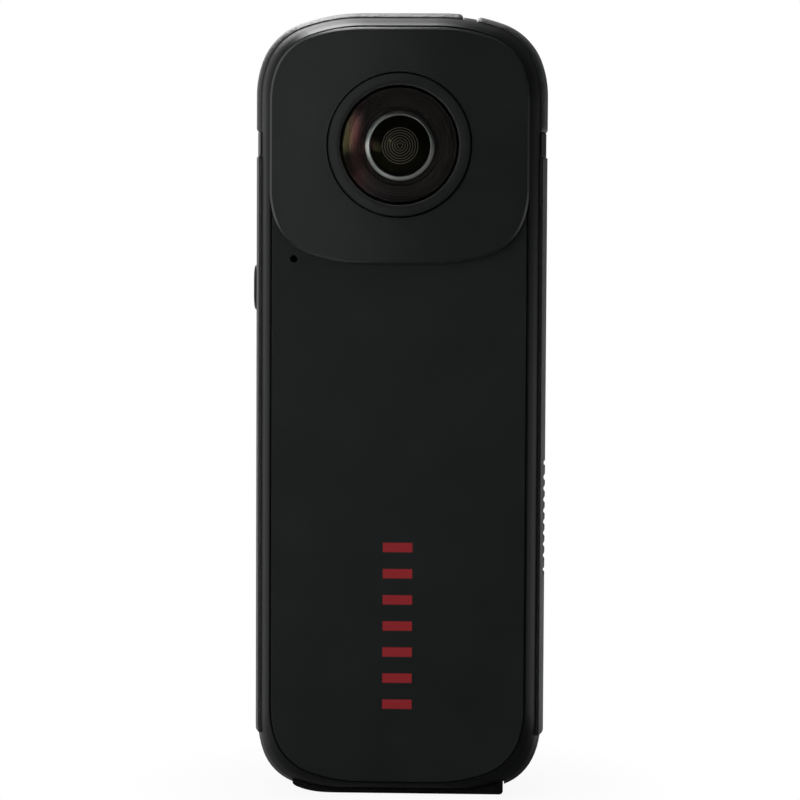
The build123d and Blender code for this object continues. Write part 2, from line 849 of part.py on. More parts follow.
# Power button: a crowned pill on a flange and a stem, over its switch
flange_x = floor_x - stop_gap
stem_end = cavity_x - stop_gap
with BuildPart() as power_button:
    with BuildSketch(side_axis.offset(-crest_half - grip_proud - power_proud)):
        with Locations((0, power_z)):
            SlotOverall(power_long, power_wide, rotation=90)
    extrude(amount=crest_half + grip_proud + power_proud - flange_x)
    chamfer(power_button.faces().sort_by(Axis.X)[0].edges(), power_proud)
    with BuildSketch(side_axis.offset(-flange_x)):
        with Locations((0, power_z)):
            Rectangle(power_wide + 2 * power_flange, power_long + 2 * power_flange)
    extrude(amount=power_flange_thick)
    with BuildSketch(side_axis.offset(-flange_x + power_flange_thick)):
        with Locations((0, power_z)):
            Rectangle(2 * power_stem, 2 * power_stem)
    extrude(amount=flange_x - power_flange_thick - stem_end)
finish_piece(power_button.part, "power_button")

switch_x = stem_end - power_travel - stop_gap
with BuildPart() as power_switch_board:
    upright_box(
        -switch_x, -switch_x + switch_high, -switch_size / 2, switch_size / 2,
        power_z - switch_size / 2, power_z + switch_size / 2,
    )
    upright_box(
        -switch_x + switch_high, -switch_x + switch_high + board_thick,
        -key_board_wide / 2, key_board_wide / 2,
        power_z - key_board_long / 2, power_z + key_board_long / 2,
    )
finish_piece(power_switch_board.part, "power_switch_board")

# Shutter button under the screen, over its switch
shutter_seat = cover_inner - shutter_rise
shutter_foot = shutter_seat - shutter_flange_thick
shutter_end = shutter_foot - shutter_travel - stop_gap
with BuildPart() as shutter_button:
    with BuildSketch(Plane.XZ.offset(-shutter_seat)):
        with Locations((0, shutter_z)):
            Circle(shutter_radius)
    extrude(amount=-(cover_face + shutter_proud - shutter_seat))
    chamfer(shutter_button.faces().sort_by(Axis.Y)[-1].edges(), shutter_proud)
    with BuildSketch(Plane.XZ.offset(-shutter_foot)):
        with Locations((0, shutter_z)):
            RegularPolygon(shutter_radius + shutter_flange, 6)
    extrude(amount=-shutter_flange_thick)
finish_piece(shutter_button.part, "shutter_button")

with BuildPart() as shutter_switch_board:
    upright_box(
        -switch_size / 2, switch_size / 2, rib_inner, shutter_end,
        shutter_z - switch_size / 2, shutter_z + switch_size / 2,
    )
    upright_box(
        -rear_key_half, rear_key_half, rib_inner - board_thick, rib_inner - stop_gap,
        rear_key_low, rib_lows[0] + rib_high,
    )
finish_piece(shutter_switch_board.part, "shutter_switch_board")

# Battery door: crowned outside, rounded about its hinge pins at the rear edge
latch_out = crown_x(0, grip_proud)
shoulder_x = door_inner + latch_play + latch_flange_thick + latch_play
with BuildPart() as battery_door:
    edge_x = crown_x(grip_half, grip_proud)
    lean = edge_x - pin_x
    turn = sqrt(hinge_radius**2 - lean**2)
    with BuildSketch(Plane.XY.offset(door_low)):
        with BuildLine():
            outer = ThreePointArc((edge_x, -grip_half), (latch_out, 0), (edge_x, pin_y + turn))
            ThreePointArc(
                outer @ 1,
                (pin_x - hinge_radius * sin(radians(45)), pin_y + hinge_radius * cos(radians(45))),
                (door_inner, pin_y),
            )
            Polyline((door_inner, pin_y), (door_inner, -grip_half), outer @ 0)
        make_face()
    extrude(amount=door_high - door_low)
    # Notches for the knuckles, and the bores of the pins
    for place in knuckle_places:
        notch = knuckle_long / 2 + knuckle_gap
        upright_box(
            floor_x, out_x, pin_y - hinge_radius - knuckle_gap, recess_half,
            place - notch, place + notch, Mode.SUBTRACT,
        )
        with BuildSketch(Plane.XY.offset(place - notch - pin_reach)):
            with Locations((pin_x, pin_y)):
                RegularPolygon(pin_bore, pin_facets)
        extrude(amount=2 * (notch + pin_reach), mode=Mode.SUBTRACT)
    # Window of the latch, and the wider pocket of its flange behind it
    upright_box(
        floor_x, out_x, -latch_half - latch_play, latch_half + latch_play,
        latch_low - latch_end_gap, latch_high + latch_end_gap, Mode.SUBTRACT,
    )
    upright_box(
        floor_x, shoulder_x, -latch_half - latch_flange - latch_play,
        latch_half + latch_flange + latch_play,
        latch_low - latch_end_gap - latch_flange, latch_high + latch_end_gap + latch_flange,
        Mode.SUBTRACT,
    )
finish_piece(battery_door.part, "battery_door")

with BuildPart() as hinge_pins:
    for place in knuckle_places:
        with BuildSketch(Plane.XY.offset(place - knuckle_long / 2 - pin_reach)):
            with Locations((pin_x, pin_y)):
                RegularPolygon(pin_radius, pin_facets)
        extrude(amount=knuckle_long + 2 * pin_reach)
finish_piece(hinge_pins.part, "hinge_pins")

# Latch: a ribbed thumb slide whose crests follow the door's crown
flange_start = door_inner + latch_play
with BuildPart() as door_latch:
    side_x = crown_x(latch_half, grip_proud)
    with BuildSketch(Plane.XY.offset(latch_low)):
        with BuildLine():
            crest = ThreePointArc((side_x, -latch_half), (latch_out, 0), (side_x, latch_half))
            Polyline(
                crest @ 1, (flange_start, latch_half), (flange_start, -latch_half), crest @ 0
            )
        make_face()
    extrude(amount=latch_long)
    groove = (latch_groove**2 / 4 + latch_depth**2) / latch_depth / 2 + latch_depth / 2
    with BuildSketch(Plane.XZ.offset(-latch_half - overrun)):
        with Locations((latch_out + groove - latch_depth, latch_low + latch_long / 2)):
            with GridLocations(latch_pitch, latch_pitch, 1, latch_ribs - 1):
                Circle(groove)
    extrude(amount=2 * (latch_half + overrun), mode=Mode.SUBTRACT)
    upright_box(
        flange_start, flange_start + latch_flange_thick,
        -latch_half - latch_flange, latch_half + latch_flange, latch_low, latch_high,
    )
    upright_box(
        floor_x - hook_reach, flange_start, -latch_half - latch_flange,
        -latch_half - latch_flange + hook_wide, hook_high - hook_long, hook_high,
    )
finish_piece(door_latch.part, "door_latch")

# Battery in its tray
with BuildPart() as battery:
    upright_box(
        battery_start, battery_end, -battery_half, battery_half, battery_low, battery_high
    )
    fillet(battery.edges().filter_by(Axis.Z), battery_round)
finish_piece(battery.part, "battery")

with BuildPart() as battery_tray:
    play = battery_play
    upright_box(
        tray_back, cavity_x - barrel_gap, -battery_half - play - tray_wall,
        battery_half + play + tray_wall, battery_low - play - tray_wall,
        battery_high + play + tray_wall,
    )
    upright_box(
        tray_back + tray_wall, cavity_x, -battery_half - play, battery_half + play,
        battery_low - play, battery_high + play, Mode.SUBTRACT,
    )
finish_piece(battery_tray.part, "battery_tray")

contact_z = battery_low + contact_long
with BuildPart() as battery_contacts:
    upright_box(
        tray_back + tray_wall, tray_back + tray_wall + contact_thick / 2,
        -contact_wide / 2, contact_wide / 2, contact_z - contact_long / 2, contact_z + contact_long / 2,
    )
    with BuildSketch(side_axis.offset(tray_back + tray_wall + contact_thick / 2)):
        with Locations((0, contact_z)):
            with GridLocations(contact_pin_pitch, contact_pin_pitch, 1, contact_pins):
                RegularPolygon(contact_pin_radius, 8)
    extrude(amount=contact_thick / 2)
finish_piece(battery_contacts.part, "battery_contacts")

# Main board on the front ribs, with its chip, shield can, screws and heat spreader
screw_xs = cavity_x - rib_reach + board_screw_inset
screw_zs = (rib_lows[0] + rib_high / 2, rib_lows[-1] + rib_high / 2)
screw_places = [(x, z) for x in (-screw_xs, screw_xs) for z in screw_zs]
with BuildPart() as main_board:
    upright_box(-main_half, main_half, -main_face, -main_inner, main_low, main_high)
finish_piece(main_board.part, "main_board")

with BuildPart() as board_screws:
    with BuildSketch(Plane.XZ.offset(main_face)):
        with Locations(*screw_places):
            RegularPolygon(board_screw_head, 8)
    extrude(amount=board_screw_head_thick)
finish_piece(board_screws.part, "board_screws")

with BuildPart() as processor:
    upright_box(
        -chip_size / 2, chip_size / 2, -main_inner, chip_thick - main_inner,
        chip_z - chip_size / 2, chip_z + chip_size / 2,
    )
finish_piece(processor.part, "processor")

with BuildPart() as shield_can:
    upright_box(
        -can_wide / 2, can_wide / 2, -main_inner, can_thick - main_inner,
        can_z - can_high / 2, can_z + can_high / 2,
    )
finish_piece(shield_can.part, "shield_can")

with BuildPart() as heat_spreader:
    upright_box(
        -spreader_half, spreader_half, stop_gap - cover_inner,
        stop_gap + spreader_thick - cover_inner, spreader_low, spreader_high,
    )
finish_piece(heat_spreader.part, "heat_spreader")

for name, sense in (("front", -1), ("rear", 1)):
    with BuildPart() as microphone:
        near = cover_inner - stop_gap
        upright_box(
            mic_x - mic_wide / 2, mic_x + mic_wide / 2, sense * near, sense * (near - mic_thick),
            mic_z - mic_long / 2, mic_z + mic_long / 2,
        )
    finish_piece(microphone.part, f"{name}_microphone")

# Port board with the charging socket on one face and the card socket on the other
port_end = cavity_x - port_gap
with BuildPart() as port_board:
    upright_box(
        port_end - port_board_long, port_end, -port_board_half, port_board_half,
        port_low - port_board_spare, port_high + port_board_spare,
    )
finish_piece(port_board.part, "port_board")

port_z = (port_low + port_high) / 2
usb_y = -port_board_half - usb_high / 2
usb_mouth = port_end - port_sink
with BuildPart() as charging_socket:
    with BuildSketch(side_axis.offset(usb_mouth - usb_long)):
        with Locations((usb_y, port_z)):
            SlotOverall(usb_wide, usb_high, rotation=90)
    extrude(amount=usb_long)
    with BuildSketch(side_axis.offset(usb_mouth)):
        with Locations((usb_y, port_z)):
            SlotOverall(usb_wide - 2 * usb_shell, usb_high - 2 * usb_shell, rotation=90)
    extrude(amount=usb_shell - usb_long, mode=Mode.SUBTRACT)
    upright_box(
        usb_mouth - usb_long + usb_shell / 2, usb_mouth - usb_tongue_short,
        usb_y - usb_tongue_high / 2, usb_y + usb_tongue_high / 2,
        port_z - usb_tongue_wide / 2, port_z + usb_tongue_wide / 2,
    )
finish_piece(charging_socket.part, "charging_socket")

card_low_y = port_board_half + card_wall + card_play
card_end = usb_mouth
with BuildPart() as card_socket:
    upright_box(
        card_end - card_long - card_play, card_end - port_sink, port_board_half,
        card_low_y + card_thick + card_play + card_wall,
        port_z - card_wide / 2 - card_play - card_wall, port_z + card_wide / 2 + card_play + card_wall,
    )
    upright_box(
        card_end - card_long - card_play + card_wall, card_end, card_low_y - card_play,
        card_low_y + card_thick + card_play,
        port_z - card_wide / 2 - card_play, port_z + card_wide / 2 + card_play, Mode.SUBTRACT,
    )
finish_piece(card_socket.part, "card_socket")

with BuildPart() as memory_card:
    upright_box(
        card_end - card_long + card_wall, card_end, card_low_y, card_low_y + card_thick,
        port_z - card_wide / 2, port_z + card_wide / 2,
    )
finish_piece(memory_card.part, "memory_card")

with BuildPart() as antenna:
    upright_box(
        -antenna_half, antenna_half, -antenna_wide, antenna_wide,
        cavity_high - antenna_thick - stop_gap, cavity_high - stop_gap,
    )
finish_piece(antenna.part, "antenna")

# Touch glass flush in the rear cover, with the display behind its window
with BuildPart() as touch_glass:
    with BuildSketch(Plane.XZ.offset(-cover_face)):
        with Locations((0, (glass_low + glass_high) / 2)):
            RectangleRounded(2 * glass_half, glass_high - glass_low, glass_round)
    extrude(amount=glass_thick)
finish_piece(touch_glass.part, "touch_glass")

with BuildPart() as display_module:
    half = glass_half - screen_border + screen_over
    edge = screen_border - screen_over
    upright_box(
        -half, half, cover_inner - stop_gap - screen_thick, cover_inner - stop_gap,
        glass_low + edge, glass_high - edge,
    )
finish_piece(display_module.part, "display_module")
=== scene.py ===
"""Dresses the 360 degree camera: materials, finer pieces, studio and camera."""

import math

import bmesh
import bpy
from mathutils import Matrix, Vector


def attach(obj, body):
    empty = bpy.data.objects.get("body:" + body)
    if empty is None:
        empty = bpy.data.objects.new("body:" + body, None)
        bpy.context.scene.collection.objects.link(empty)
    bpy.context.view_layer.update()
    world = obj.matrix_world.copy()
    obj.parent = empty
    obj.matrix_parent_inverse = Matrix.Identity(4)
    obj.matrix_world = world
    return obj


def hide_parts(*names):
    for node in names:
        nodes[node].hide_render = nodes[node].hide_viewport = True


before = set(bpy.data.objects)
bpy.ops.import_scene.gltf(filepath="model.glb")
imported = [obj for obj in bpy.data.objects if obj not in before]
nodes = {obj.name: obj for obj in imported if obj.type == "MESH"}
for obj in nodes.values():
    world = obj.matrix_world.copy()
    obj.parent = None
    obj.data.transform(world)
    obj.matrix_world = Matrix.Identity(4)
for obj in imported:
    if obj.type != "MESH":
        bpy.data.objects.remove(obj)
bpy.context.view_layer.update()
scene = bpy.context.scene
MM = 0.001
LENS_Z = 101.95  # height of the lens axis in millimetres


# Node helpers
class Graph:
    """A node tree, with short calls for the nodes that are used here."""

    def __init__(self, tree):
        self.tree = tree

    def add(self, kind, **props):
        node = self.tree.nodes.new("ShaderNode" + kind)
        for key, value in props.items():
            setattr(node, key, value)
        return node

    def feed(self, socket, value):
        """Link an output to a socket, or give the socket a plain value."""
        if isinstance(value, bpy.types.NodeSocket):
            self.tree.links.new(value, socket)
        else:
            socket.default_value = value

    def axes(self, vector):
        """X, Y and Z of a vector."""
        split = self.add("SeparateXYZ")
        self.feed(split.inputs[0], vector)
        return [split.outputs[axis] for axis in "XYZ"]

    def math(self, operation, *values):
        node = self.add("Math", operation=operation)
        for socket, value in zip(node.inputs, values):
            self.feed(socket, value)
        return node.outputs[0]

    def span(self, source, low, high, start=0.0, end=1.0, smooth=False):
        """Map a value's start to end onto low to high, with eased ends if smooth."""
        node = self.add("MapRange", interpolation_type="SMOOTHSTEP" if smooth else "LINEAR")
        self.feed(node.inputs["Value"], source)
        self.feed(node.inputs["From Min"], start)
        self.feed(node.inputs["From Max"], end)
        self.feed(node.inputs["To Min"], low)
        self.feed(node.inputs["To Max"], high)
        return node.outputs["Result"]

    def ramp(self, source, stops):
        """Colour by a value, through (place, colour) stops."""
        node = self.add("ValToRGB")
        ramp = node.color_ramp
        while len(ramp.elements) < len(stops):
            ramp.elements.new(0.5)
        for element, (place, colour) in zip(ramp.elements, stops):
            element.position = place
            element.color = (*colour, 1)
        self.feed(node.inputs["Fac"], source)
        return node.outputs["Color"]

    def mix(self, share, a, b):
        """Colour between a and b."""
        node = self.add("Mix", data_type="RGBA")
        self.feed(node.inputs["Factor"], share)
        self.feed(node.inputs["A"], a)
        self.feed(node.inputs["B"], b)
        return node.outputs["Result"]

    def blend(self, share, a, b):
        """Shader between a and b."""
        node = self.add("MixShader")
        for socket, value in zip(node.inputs, (share, a, b)):
            self.feed(socket, value)
        return node.outputs[0]


class Shade(Graph):
    """A node material with one Principled shader."""

    def __init__(self, name, base, rough, metal=0.0, **sockets):
        self.mat = bpy.data.materials.new(name)
        self.mat.use_nodes = True
        super().__init__(self.mat.node_tree)
        self.shader = self.tree.nodes["Principled BSDF"]
        self.set("Base Color", (*base, 1))
        self.set("Roughness", rough)
        self.set("Metallic", metal)
        for key, value in sockets.items():
            self.set(key.replace("_", " "), value)
        self.base, self.rough = base, rough
        self.coord = self.add("TexCoord").outputs["Object"]

    def set(self, name, value):
        """Give one of the shader's sockets a plain value or a node's output."""
        self.feed(self.shader.inputs[name], value)

    def fed(self, name):
        """The output that feeds one of the shader's sockets."""
        return self.shader.inputs[name].links[0].from_socket

    def noise(self, scale, detail=4.0, rough=0.55):
        node = self.add("TexNoise")
        self.feed(node.inputs["Scale"], scale)
        self.feed(node.inputs["Detail"], detail)
        self.feed(node.inputs["Roughness"], rough)
        self.feed(node.inputs["Vector"], self.coord)
        return node.outputs["Fac"]

    def cells(self, scale, smooth=0.0):
        node = self.add("TexVoronoi", feature="SMOOTH_F1" if smooth else "F1")
        self.feed(node.inputs["Scale"], scale)
        if smooth:
            self.feed(node.inputs["Smoothness"], smooth)
        self.feed(node.inputs["Vector"], self.coord)
        return node.outputs["Distance"]

    def vary(self, scale, spread, rough_spread=0.06):
        """Slight changes of tone and roughness over the surface."""
        cloud = self.noise(scale, 3.0)
        low = [c * (1 - spread) for c in self.base]
        high = [c * (1 + spread) for c in self.base]
        self.set("Base Color", self.ramp(cloud, [(0.3, low), (0.7, high)]))
        rough = self.span(cloud, self.rough - rough_spread, self.rough + rough_spread)
        self.set("Roughness", rough)
        return self

    def bump(self, height, depth, edge=0.0):
        """Relief from a height field, depth in metres, over softly rounded edges."""
        node = self.add("Bump")
        self.feed(node.inputs["Strength"], 1.0)
        self.feed(node.inputs["Distance"], depth)
        self.feed(node.inputs["Height"], height)
        if edge:
            self.feed(node.inputs["Normal"], self.soft_edge(edge))
        self.set("Normal", node.outputs["Normal"])
        return self

    def soft_edge(self, radius):
        node = self.add("Bevel", samples=6)
        self.feed(node.inputs["Radius"], radius)
        return node.outputs["Normal"]

    def crown_across(self, square, cube):
        """Lean the normals to both sides, as a relief of square x^2 + cube x^3 would."""
        node = self.add("Bump")
        x = self.axes(self.coord)[0]
        rise = self.math("MULTIPLY_ADD", x, cube, square)
        self.feed(node.inputs["Strength"], 1.0)
        self.feed(node.inputs["Distance"], 1.0)
        self.feed(node.inputs["Height"], self.math("MULTIPLY", self.math("MULTIPLY", x, x), rise))
        self.feed(node.inputs["Normal"], self.fed("Normal"))
        self.set("Normal", node.outputs["Normal"])

    def lens_radius(self):
        """Distance from the lens axis, in metres."""
        x, _, z = self.axes(self.coord)
        dz = self.math("SUBTRACT", z, LENS_Z * MM)
        square = self.math("ADD", self.math("MULTIPLY", x, x), self.math("MULTIPLY", dz, dz))
        return self.math("SQRT", square)

    def ring_tones(self, unit, stops):
        """Base colour by the distance from the lens axis, as a share of unit millimetres."""
        share = self.math("DIVIDE", self.lens_radius(), unit * MM)
        self.set("Base Color", self.ramp(share, stops))


# Materials: colours are linear, grain is in cells per metre, reliefs, edge roundings
# and pitches are in metres
MATT = 0.16  # reflection level of the matt plastics


def fine_plastic(name, base, rough, grain, depth, edge=0.00018, **sockets):
    """Finely grained plastic, paint or sheet metal."""
    if "Metallic" not in sockets:
        sockets.setdefault("Specular_IOR_Level", MATT)
    shade = Shade(name, base, rough, **sockets).vary(90, 0.14)
    return shade.bump(shade.noise(grain, 2.0, 0.6), depth, edge)


def rubber_grain(name, base, rough):
    """Leather-like grain: soft cells of about 0.7 mm with fine pores between them."""
    shade = Shade(
        name, base, rough, Specular_IOR_Level=0.36, Sheen_Weight=0.05, Sheen_Roughness=0.35
    ).vary(160, 0.18)
    cells = shade.cells(1450, 0.35)
    pores = shade.noise(3600, 3.0, 0.6)
    pore_share, depth, edge = 0.35, 0.00008, 0.0005
    height = shade.math("MULTIPLY_ADD", pores, pore_share, shade.math("MULTIPLY", cells, -1.0))
    return shade.bump(height, depth, edge)


def turned_metal(name, base, rough, metal, pitch=0.00012, depth=0.000004, spec=0.5):
    """Lathe-turned finish, with rings about the lens axis."""
    shade = Shade(name, base, rough, metal, Specular_IOR_Level=spec).vary(700, 0.1, 0.05)
    turns = shade.math("MULTIPLY", shade.lens_radius(), 2 * math.pi / pitch)
    return shade.bump(shade.math("SINE", turns), depth, 0.0001)


def board_green(name):
    """Green solder mask with a faint pattern of tracks."""
    shade = Shade(name, (0.01, 0.06, 0.035), 0.35)
    lines = shade.add("TexBrick")
    shade.feed(lines.inputs["Scale"], 260)
    shade.feed(lines.inputs["Mortar Size"], 0.03)
    shade.feed(lines.inputs["Color1"], (0.010, 0.075, 0.042, 1))
    shade.feed(lines.inputs["Color2"], (0.012, 0.055, 0.034, 1))
    shade.feed(lines.inputs["Mortar"], (0.02, 0.13, 0.07, 1))
    mapping = shade.add("Mapping")
    shade.feed(mapping.inputs["Rotation"], (math.radians(90), 0, 0))
    shade.feed(mapping.inputs["Vector"], shade.coord)
    shade.feed(lines.inputs["Vector"], mapping.outputs["Vector"])
    shade.set("Base Color", lines.outputs["Color"])
    return shade.bump(shade.noise(2500, 2.0), 0.00001, 0.0001)


def anodised_frame():
    """Satin black anodising; the flat bands of each shoulder shade as one even curve."""
    shade = fine_plastic(
        "frame_anodised", (0.0075, 0.008, 0.008), 0.3, 5200, 0.000005, 0.00025,
        Specular_IOR_Level=0.055,
    )
    _, y, _ = shade.axes(shade.coord)
    # Lean of the normals at each depth from the middle, in centimetres, with 0.5 for none
    places = [(0.0, 0.5), (0.64, 0.5), (0.65, 0.44), (0.8725, 0.565), (0.8735, 0.43), (1.0, 0.57)]
    lean = shade.add("FloatCurve")
    curve = lean.mapping.curves[0]
    curve.points[0].location, curve.points[1].location = places[0], places[-1]
    for place in places[1:-1]:
        curve.points.new(*place)
    for point in curve.points:
        point.handle_type = "VECTOR"
    lean.mapping.update()
    shade.feed(lean.inputs["Value"], shade.math("MULTIPLY", shade.math("ABSOLUTE", y), 100.0))
    bend = shade.math("SUBTRACT", lean.outputs["Value"], 0.5)
    tilt = shade.add("CombineXYZ")
    shade.feed(tilt.inputs["Y"], shade.math("MULTIPLY", bend, shade.math("SIGN", y)))
    leaning = shade.add("VectorMath", operation="ADD")
    shade.feed(leaning.inputs[0], shade.fed("Normal"))
    shade.feed(leaning.inputs[1], tilt.outputs["Vector"])
    unit = shade.add("VectorMath", operation="NORMALIZE")
    shade.feed(unit.inputs[0], leaning.outputs["Vector"])
    shade.set("Normal", unit.outputs["Vector"])
    return shade


def matt_plate():
    """Matt dark grey with a slight crown, and a polished chamfer along its edge whose lighter tone
    is a painted highlight.
    """
    rough = 0.46
    shade = fine_plastic("lens_plate_matt", (0.012, 0.0132, 0.013), rough, 3600, 0.000014, 0.00012)
    shade.crown_across(-7.5, 130.0)
    facing = shade.math("ABSOLUTE", shade.axes(shade.add("NewGeometry").outputs["Normal"])[1])

    def by_slope(polished, matt):
        return shade.span(facing, polished, matt, start=0.85, end=0.95)

    # The chamfer's lighter tone is a painted highlight along the edge.
    tone = shade.mix(by_slope(0.0, 1.0), (0.016, 0.017, 0.017, 1), shade.fed("Base Color"))
    shade.set("Base Color", tone)
    shade.set("Specular IOR Level", by_slope(0.75, MATT))
    shade.set("Roughness", by_slope(0.3, rough))
    return shade


def turned_bezel():
    """Satin black ring, with a painted highlight along its inner edge and painted shade on its
    outer edge.
    """
    tone = (0.0128, 0.0137, 0.0137)
    shade = turned_metal("bezel_black", tone, 0.46, 0.0, depth=0.000001, spec=MATT)
    shade.crown_across(-12.0, 600.0)
    # The light tone at the inner edge is a painted highlight; the near black outer edge is painted
    # shade standing in for the dark gap around the bezel.
    lip_highlight, dark = (0.09, 0.092, 0.092), (0.0006, 0.0006, 0.0006)
    shade.ring_tones(12.0, [(0.776, lip_highlight), (0.79, tone), (0.908, tone), (0.918, dark)])
    return shade


def matt_barrel():
    """Deep matt turned barrel, with painted light on the seat under the dome's rim, where the glass
    leaves it in shade.
    """
    tone = (0.052, 0.046, 0.044)
    shade = turned_metal("barrel_matt", tone, 0.8, 0.0, pitch=0.0003, spec=0.0)
    # The light tone on the seat under the dome's rim is painted light that lifts the shade there.
    shade.ring_tones(9.2, [(0.895, tone), (0.91, (0.3, 0.27, 0.25))])
    return shade


COVER_LOOK = ((0.0098, 0.0115, 0.011), 0.42, 5200, 0.000006)


def printed_cover():
    """The front cover's satin black with a column of plain dark red marks printed on it."""
    shade = fine_plastic("front_cover_satin", *COVER_LOOK)
    half_wide, lowest, pitch, share = 0.0023, 0.0142, 0.0041, 0.36
    middle, half_count = 3.25, 3.3
    x, _, z = shade.axes(shade.coord)
    across = shade.math("LESS_THAN", shade.math("ABSOLUTE", x), half_wide)
    step = shade.math("DIVIDE", shade.math("SUBTRACT", z, lowest), pitch)
    bar = shade.math("LESS_THAN", shade.math("FRACT", step), share)
    off_middle = shade.math("ABSOLUTE", shade.math("SUBTRACT", step, middle))
    inside = shade.math("LESS_THAN", off_middle, half_count)
    mark = shade.math("MULTIPLY", shade.math("MULTIPLY", across, bar), inside)
    shade.set("Base Color", shade.mix(mark, shade.fed("Base Color"), (0.26, 0.016, 0.02, 1)))
    return shade


def dark_mesh():
    """Fine acoustic mesh behind the microphone holes, with painted shade darkening its own holes.
    """
    shade = Shade("microphone_mesh", (0.004, 0.004, 0.004), 0.7, Specular_IOR_Level=0.1)
    holes = shade.cells(5200)
    # The darkest tone, in the mesh's holes, is painted shade.
    stops = [(0.2, (0.001, 0.001, 0.001)), (0.6, (0.008, 0.008, 0.008))]
    shade.set("Base Color", shade.ramp(holes, stops))
    return shade.bump(holes, 0.00003)


def threaded_steel():
    """Plain steel whose bore carries the 1.27 mm pitch of the tripod thread."""
    shade = Shade("threaded_steel", (0.42, 0.42, 0.42), 0.34, 1.0).vary(700, 0.12)
    pitch, relief, bore_radius = 0.00127, 0.0012, 0.00262
    x, y, z = shade.axes(shade.coord)
    radius = shade.math("SQRT", shade.math("MULTIPLY_ADD", x, x, shade.math("MULTIPLY", y, y)))
    turn = shade.math("DIVIDE", shade.math("ARCTAN2", y, x), 2 * math.pi)
    climb = shade.math("ADD", shade.math("DIVIDE", z, pitch), turn)
    ridge = shade.math("PINGPONG", climb, 0.5)
    bore = shade.math("LESS_THAN", radius, bore_radius)
    return shade.bump(shade.math("MULTIPLY", ridge, bore), relief)


def clear_glass(name, tint, coating):
    """Coated glass: clear, its weak reflections tinted by the coating."""
    shade = Shade(name, tint, 0.0, Transmission_Weight=1.0, IOR=1.45, Specular_IOR_Level=0.1)
    shade.set("Specular Tint", (*coating, 1))
    shade.set("Roughness", shade.span(shade.noise(120, 3.0), 0.0, 0.02))
    return shade


def dome_glass():
    """The dome's reflections get painted colours by place: olive at its left edge, then rose, then
    nearly colourless.
    """
    shade = clear_glass("dome_glass", (0.97, 0.98, 0.97), (0.16, 0.10, 0.06))
    per_metre, middle = 54.0, 0.5
    across = shade.math("MULTIPLY_ADD", shade.axes(shade.coord)[0], per_metre, middle)
    # Painted reflection colours: they follow the place across the dome, not the light's angle on
    # the coating.
    olive, rose = (0.52, 0.42, 0.0), (0.8, 0.1, 0.12)
    brown, faint = (0.16, 0.06, 0.06), (0.015, 0.013, 0.012)
    stops = [(0.0, olive), (0.07, olive), (0.15, rose), (0.24, brown), (0.33, faint)]
    shade.set("Specular Tint", shade.ramp(across, stops))
    return shade


def ringed_lens():
    """Dark inner lens with faint brownish rings about its axis."""
    shade = Shade("inner_lens_glass", (0.01, 0.008, 0.008), 0.1, Specular_IOR_Level=0.06)
    shade.set("Specular Tint", (0.8, 0.85, 0.25, 1))
    dark, ring, half_ring = (0.013, 0.0125, 0.011), (0.26, 0.24, 0.2), 0.017
    stops = [(0.0, (0.026, 0.025, 0.021))]
    for place in (0.09, 0.17, 0.25, 0.335, 0.42, 0.5, 0.585):
        stops += [(place - half_ring, dark), (place, ring), (place + half_ring, dark)]
    stops += [(0.64, (0.006, 0.006, 0.0055)), (1.0, (0.008, 0.008, 0.008))]
    shade.ring_tones(4.65, stops)
    shade.set("Roughness", shade.span(shade.noise(900, 2.0), 0.04, 0.1))
    return shade


def screen_glass():
    """Black-backed glass: the border is deep black, the window shows the dark panel."""
    shade = Shade("screen_glass", (0.004, 0.004, 0.005), 0.06, Coat_Weight=0.5)
    middle, half_wide, half_tall = 0.04945, 0.0141, 0.0283
    x, _, z = shade.axes(shade.coord)
    side = shade.math("LESS_THAN", shade.math("ABSOLUTE", x), half_wide)
    off_middle = shade.math("ABSOLUTE", shade.math("SUBTRACT", z, middle))
    window = shade.math("MULTIPLY", side, shade.math("LESS_THAN", off_middle, half_tall))
    stops = [(0.0, (0.003, 0.003, 0.0035)), (1.0, (0.009, 0.0095, 0.011))]
    shade.set("Base Color", shade.ramp(window, stops))
    shade.set("Roughness", shade.span(shade.noise(60, 4.0), 0.04, 0.11))
    shade.set("Normal", shade.soft_edge(0.0001))
    return shade


def metal(name, base, rough, grain, depth):
    """Bare metal with a fine even grain."""
    return fine_plastic(name, base, rough, grain, depth, 0.0001, Metallic=1.0)


grip_mat = rubber_grain("grip_rubber", (0.016, 0.0165, 0.0168), 0.48)
base_mat = fine_plastic("base_plastic", (0.004, 0.0043, 0.0044), 0.5, 3600, 0.00001, 0.0002)
bezel_mat = turned_bezel()
bright_mat = turned_metal("bright_ring", (0.46, 0.47, 0.46), 0.3, 1.0)
barrel_mat = matt_barrel()
dome_mat = dome_glass()
inner_mat = ringed_lens()

